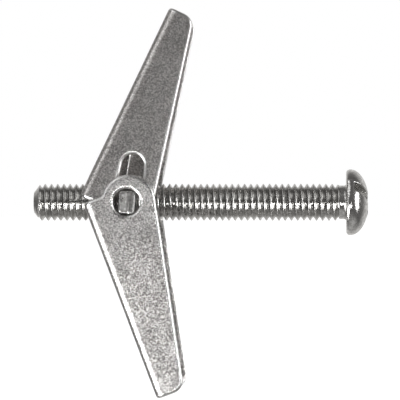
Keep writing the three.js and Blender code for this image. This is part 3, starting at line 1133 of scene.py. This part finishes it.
@dataclass
class WingBlank:
    """The wing's sheet before it is bent, as loops in the distance across it and the height."""

    sheet: float = 0.85
    length: float = 30.8
    web_start: float = -2.301
    web_middle: float = -6.174
    bend_radius: float = 1.075
    inner_flange: float = -6.177
    outer_flange: float = 7.227
    inner_tip: float = -1.949
    outer_tip: float = -1.949
    tip_round: float = 2.15
    ear_offset: float = 0.35
    ear_radius: float = 4.251
    hole_radius: float = 2.151
    slot_travel: float = 5.95
    slot_end_radius: float = 1.75
    slot_lean: float = 17.0
    notch_radius: float = 3.37
    notch_end: float = 1.393
    shoulder_fillet: float = 0.7
    mouth_round: float = 0.5
    fine: float = 0.13
    coarse: float = 0.36

    def __post_init__(self) -> None:
        """Works out where the bends start and end across the sheet."""
        self.bend_x = self.web_middle + self.bend_radius
        self.low_y = self.inner_flange + self.bend_radius
        self.high_y = self.outer_flange - self.bend_radius
        self.web = self.high_y - self.low_y
        self.bend = self.bend_radius * math.pi / 2

    def outer(self, x: float) -> float:
        """Gives the distance across the sheet of a place on the outer flange."""
        return self.web + self.bend + x - self.bend_x

    def inner(self, x: float) -> float:
        """Gives the distance across the sheet of a place on the inner flange."""
        return -self.bend - x + self.bend_x

    def line(self, start: Point, end: Point) -> list[Point]:
        """Gives evenly spaced points between two ends, both left out."""
        count = max(1, round(math.dist(start, end) / self.coarse))
        shares = [k / count for k in range(1, count)]
        return [(start[0] + (end[0] - start[0]) * t, start[1] + (end[1] - start[1]) * t) for t in shares]

    def side(self, tip_edge: float) -> list[Point]:
        """Gives a flange's edge in X and Z, from the bend at the tip round the ear to the bend.

        Args:
            tip_edge: Where the flange's free edge is at the tip.

        Returns:
            The points, clockwise.
        """
        ear = Vector((self.ear_offset, 0))
        to_tip = Vector((tip_edge, self.length)) - ear
        angle = math.atan2(to_tip.y, to_tip.x) - math.acos(self.ear_radius / to_tip.length)
        edge = Vector((-math.sin(angle), math.cos(angle)))
        cut = self.tip_round / math.tan(math.acos(edge.x) / 2)
        tip_centre = (tip_edge - cut, self.length - self.tip_round)
        tip = arc(tip_centre, self.tip_round, math.pi / 2, angle, self.fine)
        low = self.web_start - self.shoulder_fillet
        across = math.sqrt((self.ear_radius + self.shoulder_fillet) ** 2 - low**2)
        joint = math.atan2(low, -across)
        round_ear = arc((self.ear_offset, 0), self.ear_radius, angle, joint, self.fine)
        corner = (self.ear_offset - across, low)
        shoulder = arc(corner, self.shoulder_fillet, joint + math.pi, math.pi / 2, self.fine)
        start, end = (self.bend_x, self.length), (self.bend_x, self.web_start)
        points = [start, *self.line(start, tip[0]), *tip, *self.line(tip[-1], round_ear[0])]
        points += [*round_ear, *shoulder[1:]]
        return [*points, *self.line(points[-1], end), end]

    def notch(self) -> list[Point]:
        """Gives the notch in the web's end, from its outer mouth to its inner one."""
        middle, centre = -self.low_y, self.notch_end - self.notch_radius
        rise = self.web_start + self.mouth_round - centre
        across = math.sqrt((self.notch_radius + self.mouth_round) ** 2 - rise**2)
        lean = math.atan2(rise, across)
        corner = (middle + across, centre + rise)
        mouth = arc(corner, self.mouth_round, -math.pi / 2, -math.pi + lean, self.fine / 2)
        hollow = arc((middle, centre), self.notch_radius, lean, math.pi - lean, self.fine)
        far = [(2 * middle - s, z) for s, z in reversed(mouth)]
        return [*mouth, *hollow[1:-1], *far]

    def loops(self) -> list[np.ndarray]:
        """Gives the blank's outside, its round hole and its slot.

        Returns:
            Loops of points, the outside one clockwise and the others anticlockwise.
        """
        notch = self.notch()
        right = [(self.outer(x), z) for x, z in self.side(self.outer_tip)]
        left = [(self.inner(x), z) for x, z in reversed(self.side(self.inner_tip))]
        outside = [*right, *self.line(right[-1], notch[0]), *notch, *self.line(notch[-1], left[0]), *left]
        outside += self.line(left[-1], right[0])
        hole = arc((self.outer(0), 0), self.hole_radius, 0, 2 * math.pi, self.fine)[:-1]
        lean = math.radians(self.slot_lean)
        far = (-self.slot_travel * math.sin(lean), self.slot_travel * math.cos(lean))
        along = math.pi / 2 + lean
        half = math.acos((self.hole_radius - self.slot_end_radius) / self.slot_travel)
        near_end = arc((0, 0), self.hole_radius, along + half, along + 2 * math.pi - half, self.fine)
        far_end = arc(far, self.slot_end_radius, along - half, along + half, self.fine)
        slot = [*near_end, *self.line(near_end[-1], far_end[0])]
        slot += [*far_end, *self.line(far_end[-1], near_end[0])]
        slot = [(self.inner(x), z) for x, z in reversed(slot)]
        return [np.array(outside), np.array(hole), np.array(slot)]

    def fold(self, across: np.ndarray, height: np.ndarray, off: np.ndarray) -> np.ndarray:
        """Bends the sheet into its channel.

        Args:
            across: Distances across the flat sheet.
            height: Heights along the wing.
            off: Distances outwards from the sheet's middle.

        Returns:
            Points of the wing.
        """
        angle_high = np.clip((across - self.web) / self.bend_radius, 0, math.pi / 2)
        angle_low = np.clip(-across / self.bend_radius, 0, math.pi / 2)
        angle = np.maximum(angle_high, angle_low)
        side = np.where(across > self.web / 2, 1.0, -1.0)
        past = np.maximum(np.maximum(across - self.web, -across) - self.bend, 0)
        web_y = np.clip(across, 0, self.web) + self.low_y
        x = self.bend_x - (self.bend_radius + off) * np.cos(angle) + past
        y = web_y + side * (self.bend_radius + off) * np.sin(angle)
        return np.stack([x, y, height], axis=1)


def inside(points: np.ndarray, loop: np.ndarray) -> np.ndarray:
    """Tells which points lie inside a closed loop."""
    x, y = points[:, :1], points[:, 1:]
    x1, y1 = loop.T
    x2, y2 = np.roll(loop, -1, axis=0).T
    crosses = (y1 > y) != (y2 > y)
    rise = np.where(y2 == y1, 1.0, y2 - y1)
    return (crosses & (x < x1 + (y - y1) * (x2 - x1) / rise)).sum(1) % 2 == 1


LOWER_BLANK = WingBlank()
UPPER_BLANK = WingBlank(
    web_middle=-6.874,
    inner_tip=-2.949,
    outer_tip=-3.299,
    ear_offset=-0.1,
    notch_end=1.127,
)


@dataclass
class Wing:
    """One folding channel wing, stamped from sheet with rolled-over edges."""

    side: WingSide
    material: bpy.types.Material
    placement: Matrix
    open_angle: float
    blank: WingBlank
    slot: str = "wing_zinc"
    outside_round: float = 0.5
    hole_round: float = 0.42
    inside_round: float = 0.14
    margin: float = 0.58
    round_steps: int = 5
    bend_lines: int = 10
    clearance: float = 0.45
    warp: float = 0.035

    def rows(self, loops: list[np.ndarray]) -> np.ndarray:
        """Gives the points inside the blank, in rows that follow the bends.

        Args:
            loops: The blank's loops, each moved in by the margin.

        Returns:
            Points clear of every loop.
        """
        blank = self.blank
        low, high = loops[0].min(0), loops[0].max(0)
        step = blank.coarse
        spans = [
            (low[0], -blank.bend, round((-blank.bend - low[0]) / step)),
            (-blank.bend, 0, self.bend_lines),
            (0, blank.web, round(blank.web / step)),
            (blank.web, blank.web + blank.bend, self.bend_lines),
            (blank.web + blank.bend, high[0], round((high[0] - blank.web - blank.bend) / step)),
        ]
        across = np.concatenate([np.linspace(a, b, n, endpoint=False) for a, b, n in spans])
        height = np.linspace(low[1], high[1], round((high[1] - low[1]) / step))
        grid = np.stack(np.meshgrid(across, height, indexing="ij"), axis=-1).reshape(-1, 2)
        grid = grid[inside(grid, loops[0])]
        for loop in loops[1:]:
            grid = grid[~inside(grid, loop)]
        edge = np.concatenate(loops)
        gap = np.array([np.hypot(*(edge - p).T).min() for p in grid])
        return grid[gap > self.clearance * step]

    def profile(self, outer_round: float) -> list[tuple[float, float, float]]:
        """Gives the edge's section as inset, height off the middle and edge mark.

        Args:
            outer_round: The outer edge's radius.

        Returns:
            Points from the outer face round the edge to the inner face, the faces' own left out.
        """
        half = self.blank.sheet / 2
        points = []
        for angle in np.linspace(math.pi / 2, 0, self.round_steps):
            inset = outer_round * (1 - math.cos(angle))
            points.append((inset, half - outer_round * (1 - math.sin(angle)), 1.0))
        for angle in np.linspace(0, math.pi / 2, self.round_steps - 1):
            inset = self.inside_round * (1 - math.cos(angle))
            points.append((inset, -half + self.inside_round * (1 - math.sin(angle)), 0.8))
        return points

    def flat_parts(self) -> tuple[np.ndarray, np.ndarray, list]:
        """Builds the blank as flat coordinates.

        Returns:
            Points of distance across, height and distance off the middle; their edge marks; faces.
        """
        half = self.blank.sheet / 2
        loops = self.blank.loops()
        inwards = [self.inward(loop, k > 0) for k, loop in enumerate(loops)]
        borders = [loop + self.margin * way for loop, way in zip(loops, inwards)]
        border = np.concatenate(borders)
        starts = np.cumsum([0] + [len(b) for b in borders])
        edges = []
        for first, loop in zip(starts, borders):
            edges += [(int(first + k), int(first + (k + 1) % len(loop))) for k in range(len(loop))]
        given = np.concatenate([border, self.rows(borders)])
        found = delaunay_2d_cdt([Vector(p) for p in given], edges, [], 0, 1e-6)
        flat = np.array([tuple(v) for v in found[0]])
        origin = {old: new for new, olds in enumerate(found[3]) for old in olds}
        triangles = np.array([f for f in found[2] if len(f) == 3])
        middle = flat[triangles].mean(axis=1)
        keep = inside(middle, borders[0])
        for loop in borders[1:]:
            keep &= ~inside(middle, loop)
        triangles = triangles[keep]
        count = len(flat)
        points = [np.column_stack([flat, np.full(count, off)]) for off in (half, -half)]
        marks = [np.zeros(count), np.zeros(count)]
        faces = [tuple(map(int, t)) for t in triangles]
        faces += [tuple(int(v) + count for v in t[::-1]) for t in triangles]
        total = 2 * count
        for k, (loop, way) in enumerate(zip(loops, inwards)):
            top = [origin[int(starts[k]) + n] for n in range(len(loop))]
            before = top
            for inset, off, mark in self.profile(self.hole_round if k else self.outside_round):
                ring = loop + inset * way
                points.append(np.column_stack([ring, np.full(len(ring), off)]))
                marks.append(np.full(len(ring), mark))
                after = list(range(total, total + len(ring)))
                faces += self.strip(before, after)
                before, total = after, total + len(ring)
            faces += self.strip(before, [v + count for v in top])
        return np.concatenate(points), np.concatenate(marks), faces

    @staticmethod
    def inward(loop: np.ndarray, hole: bool) -> np.ndarray:
        """Gives the direction into the sheet at each point of a loop.

        Args:
            loop: The loop.
            hole: Whether the sheet lies outside it.

        Returns:
            Unit vectors.
        """
        run = np.roll(loop, -1, axis=0) - np.roll(loop, 1, axis=0)
        way = np.stack([run[:, 1], -run[:, 0]], axis=1)
        way /= np.linalg.norm(way, axis=1)[:, None]
        area = (loop[:, 0] * np.roll(loop[:, 1], -1) - np.roll(loop[:, 0], -1) * loop[:, 1]).sum()
        points_in = area < 0
        return way if points_in != hole else -way

    @staticmethod
    def strip(first: list[int], second: list[int]) -> list[tuple[int, int, int, int]]:
        """Joins two loops of points with four-sided faces."""
        count = len(first)
        return [(first[k], first[(k + 1) % count], second[(k + 1) % count], second[k]) for k in range(count)]

    def build(self, shop: Workshop) -> None:
        """Builds the wing and puts it in place."""
        flat, marks, faces = self.flat_parts()
        sway = ripple(np.column_stack([flat[:, :2], np.zeros(len(flat))]), 7.0, 2.0 + self.side.turn)
        points = self.blank.fold(flat[:, 0], flat[:, 1], flat[:, 2] + self.warp * sway)
        wing = object_from(f"{self.side.node}_sheet", points, faces)
        # The edge marks brighten every rounded sheet edge: partly wear, partly painted highlight.
        set_attribute(wing.data, "edge", marks)
        set_attribute(wing.data, "hollow", np.zeros(len(points)))
        lean = Matrix.Rotation(math.radians(self.open_angle), 4, "Y")
        wing.data.transform(self.placement @ Matrix.Rotation(self.side.turn, 4, "X") @ lean)
        shop.ride(wing, self.material, self.side.node, self.side.body)


# ------------------------------------------------------------------ torsion spring


def wire_tree() -> NodeGroup:
    """Builds the tree that sweeps a round wire along a chain of edges.

    Returns:
        The tree, with the wire's radius and sides as named inputs.
    """
    group = NodeGroup(
        "Drawn wire",
        "GeometryNodeTree",
        {
            "Path": (GEOMETRY, None),
            "Radius": (FLOAT, 0.35),
            "Sides": (INTEGER, 20),
            "Material": (MATERIAL, None),
        },
        {"Geometry": GEOMETRY},
    )
    graph, given = group.graph, group.inputs
    path = graph.node("GeometryNodeMeshToCurve", {"Mesh": given["Path"]})
    ring = {"Resolution": given["Sides"], "Radius": given["Radius"]}
    section = graph.node("GeometryNodeCurvePrimitiveCircle", ring)
    swept = graph.node(
        "GeometryNodeCurveToMesh",
        {"Curve": path.outputs[0], "Profile Curve": section.outputs[0], "Fill Caps": True},
    )
    hand_out(group, swept.outputs[0])
    return group


@dataclass
class TorsionSpring:
    """A turn of wire round the far lug, with a leg inside each wing."""

    material: bpy.types.Material
    placement: Matrix
    node: str = "torsion_spring"
    body: str = "nut"
    slot: str = "spring_steel"
    wire_radius: float = 0.35
    coil_radius: float = 2.471
    coil_start: float = 4.32
    coil_advance: float = 0.882
    shank_lean: float = 18.5
    elbow: Point = (-1.2, 4.2)
    leg_lean: float = 7.6
    lower_leg_end: float = 13.02
    upper_leg_end: float = 15.6
    bend_radius: float = 0.8
    steps: int = 90
    shank_steps: int = 6
    elbow_steps: int = 8
    leg_steps: int = 24
    sides: int = 20

    def coil_path(self) -> list[Vector]:
        """Gives the coil's middle line, from the lower leg's start to the upper one's."""
        lean = math.radians(self.shank_lean)
        wrap = 2 * math.pi + 2 * lean
        path = []
        for share in np.linspace(0, 1, self.steps):
            angle = math.pi + lean - share * wrap
            y = self.coil_start + share * self.coil_advance
            path.append(Vector((self.coil_radius * math.cos(angle), y, self.coil_radius * math.sin(angle))))
        return path

    def leg_path(self, start: Vector, up: int, leg_end: float) -> list[Vector]:
        """Gives a leg's middle line from the coil round its elbow to its end.

        Args:
            start: Where it leaves the coil.
            up: 1 for the leg in the upper wing and -1 for the lower one.
            leg_end: How far the leg reaches from the pivot, along Z.

        Returns:
            The points.
        """
        elbow = Vector((self.elbow[0], start.y, up * self.elbow[1]))
        lean = math.radians(self.leg_lean)
        rise = leg_end - self.elbow[1]
        end = elbow + Vector((rise * math.tan(lean), 0, up * rise))
        into, out = (elbow - start).normalized(), (end - elbow).normalized()
        half = math.acos(max(-1.0, min(1.0, -into.dot(out)))) / 2
        cut = self.bend_radius / math.tan(half)
        first, last = elbow - into * cut, elbow + out * cut
        path = [start.lerp(first, k / self.shank_steps) for k in range(self.shank_steps)]
        for k in range(self.elbow_steps + 1):
            share = k / self.elbow_steps
            path.append(first.lerp(elbow, share).lerp(elbow.lerp(last, share), share))
        return path + [last.lerp(end, k / self.leg_steps) for k in range(1, self.leg_steps + 1)]

    def wire(self, name: str, path: list[Vector], tree: NodeGroup) -> bpy.types.Object:
        """Sweeps the wire along a path.

        Args:
            name: The piece's name.
            path: Its middle line.
            tree: The wire's tree.

        Returns:
            A closed mesh in place.
        """
        mesh = bpy.data.meshes.new(name)
        mesh.from_pydata([tuple(p) for p in path], [(k, k + 1) for k in range(len(path) - 1)], [])
        values = {"Radius": self.wire_radius, "Sides": self.sides, "Material": self.material}
        piece = grown(name, tree, values, put(name, mesh))
        turn_outwards(piece.data)
        mark_edges(piece.data, sharpest=6.0, spread=1)
        piece.data.transform(self.placement)
        return piece

    def build(self, shop: Workshop) -> None:
        """Builds the coil and both legs."""
        tree = wire_tree()
        coil = self.coil_path()
        piece = self.wire("spring_coil", coil, tree)
        shop.ride(piece, self.material, self.node, self.body)
        legs = (
            (coil[0], -1, self.lower_leg_end, WingSide.LOWER),
            (coil[-1], 1, self.upper_leg_end, WingSide.UPPER),
        )
        for start, up, leg_end, side in legs:
            path = self.leg_path(start, up, leg_end)
            leg = self.wire(f"spring_leg_{side.name.lower()}", path, tree)
            shop.prepare(leg, self.material)
            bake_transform(leg)
            shop.register(leg, self.node)


# ------------------------------------------------------------------ studio


@dataclass
class Softbox:
    """One soft rectangular light that faces the object."""

    name: str
    place: Triple
    width: float
    height: float
    power: float

    def build(self, aim: Vector) -> None:
        """Makes the light."""
        light = bpy.data.lights.new(self.name, "AREA")
        light.shape, light.size, light.size_y, light.energy = "RECTANGLE", self.width, self.height, self.power
        lamp = put(self.name, light)
        lamp.location = self.place
        lamp.rotation_euler = (aim - Vector(self.place)).to_track_quat("-Z", "Y").to_euler()
        lamp.visible_camera = False


@dataclass
class Studio:
    """The pale floor, the light and the camera."""

    distance: float = 0.454
    yaw: float = 2.3
    lens: float = 255.0
    aim_x: float = -0.0234
    aim_z: float = 0.00037
    floor_height: float = -0.04
    floor_size: float = 12.0
    boxes: tuple[Softbox, ...] = (
        Softbox("front_strip", (-0.05, -0.9, -0.19), 0.5, 0.07, 2.6),
        Softbox("left_low_box", (-0.62, -0.42, -0.36), 0.65, 0.4, 7.0),
        Softbox("left_high_box", (-0.5, -0.4, 0.55), 0.8, 0.7, 1.6),
        Softbox("left_strip", (-0.75, -0.42, 0.15), 0.1, 0.8, 0.6),
        Softbox("right_box", (0.62, -0.26, 0.05), 0.3, 0.5, 3.0),
    )

    def camera(self) -> None:
        """Makes the camera."""
        data = bpy.data.cameras.new("camera")
        data.lens, data.sensor_width = self.lens, 36.0
        data.clip_start, data.clip_end = 0.01, 50.0
        camera = put("camera", data)
        aim, yaw = Vector((self.aim_x, 0, self.aim_z)), math.radians(self.yaw)
        camera.location = aim + self.distance * Vector((math.sin(yaw), -math.cos(yaw), 0))
        camera.rotation_euler = (aim - camera.location).to_track_quat("-Z", "Y").to_euler()
        bpy.context.scene.camera = camera

    def floor(self) -> None:
        """Makes the floor, which shows white and throws no light back on the object."""
        half = self.floor_size / 2
        corners = [(-half, -half), (half, -half), (half, half), (-half, half)]
        mesh = bpy.data.meshes.new("floor")
        mesh.from_pydata([(x, y, self.floor_height) for x, y in corners], [], [(0, 1, 2, 3)])
        floor = put("floor", mesh)
        material = bpy.data.materials.new("pale_floor")
        material.use_nodes = True
        shader = material.node_tree.nodes["Principled BSDF"]
        shader.inputs["Base Color"].default_value = (0.9, 0.9, 0.9, 1.0)
        shader.inputs["Roughness"].default_value = 0.9
        shader.inputs["Emission Color"].default_value = (1.0, 1.0, 1.0, 1.0)
        shader.inputs["Emission Strength"].default_value = 0.95
        mesh.materials.append(material)
        floor.visible_glossy = False
        floor.visible_diffuse = False

    def world(self) -> None:
        """Makes the surroundings: white to the camera, and to the metal light behind, dim elsewhere."""
        world = bpy.data.worlds.new("studio")
        bpy.context.scene.world = world
        world.use_nodes = True
        graph = Graph(world.node_tree)
        world.node_tree.nodes.clear()
        way = graph.node("ShaderNodeSeparateXYZ", {0: graph.node("ShaderNodeTexCoord").outputs["Generated"]})
        behind = graph.ramp(way.outputs["Y"], 0.3, 0.95)
        below = graph.ramp(way.outputs["Z"], -0.55, -0.95)
        dim = graph.mix(below, (0.13, 0.127, 0.125, 1.0), (0.42, 0.415, 0.41, 1.0))
        seen = graph.mix(behind, dim, (0.75, 0.74, 0.73, 1.0))
        soft = graph.node("ShaderNodeBackground", {"Color": seen, "Strength": 1.0})
        white = graph.node("ShaderNodeBackground", {"Color": (1.0, 1.0, 1.0, 1.0), "Strength": 1.0})
        direct = graph.node("ShaderNodeLightPath").outputs["Is Camera Ray"]
        mixed = graph.node("ShaderNodeMixShader", {0: direct, 1: soft.outputs[0], 2: white.outputs[0]})
        graph.node("ShaderNodeOutputWorld", {"Surface": mixed.outputs[0]})

    def build(self) -> None:
        """Makes the whole studio."""
        view = bpy.context.scene.view_settings
        view.view_transform, view.look = "Standard", "None"
        self.camera()
        self.floor()
        self.world()
        for box in self.boxes:
            box.build(Vector((self.aim_x, 0, self.aim_z)))


# ------------------------------------------------------------------ the whole object


def main() -> None:
    """Builds every piece round the frame."""
    logging.basicConfig(level=logging.INFO, format="%(name)s: %(message)s")
    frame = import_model()
    Studio().build()
    groups = SurfaceGroups()
    shop = Workshop()
    pivot = Pivot()
    place = pivot.placement(frame)
    MachineScrew(BOLT_FINISH.build(groups)).build(shop)
    ToggleNut(NUT_FINISH.build(groups), place).build(shop)
    # The two wings share one sheet metal, given as a painted-shade copy and a painted-light copy.
    upper, lower = UPPER_WING_SHADED_FINISH.build(groups), LOWER_WING_LIT_FINISH.build(groups)
    Wing(WingSide.UPPER, upper, place, pivot.open_angle, UPPER_BLANK).build(shop)
    Wing(WingSide.LOWER, lower, place, pivot.open_angle, LOWER_BLANK).build(shop)
    TorsionSpring(WIRE_FINISH.build(groups), place).build(shop)
    LOG.info("%d pieces in place", shop.count)


if __name__ == "__main__":
    main()
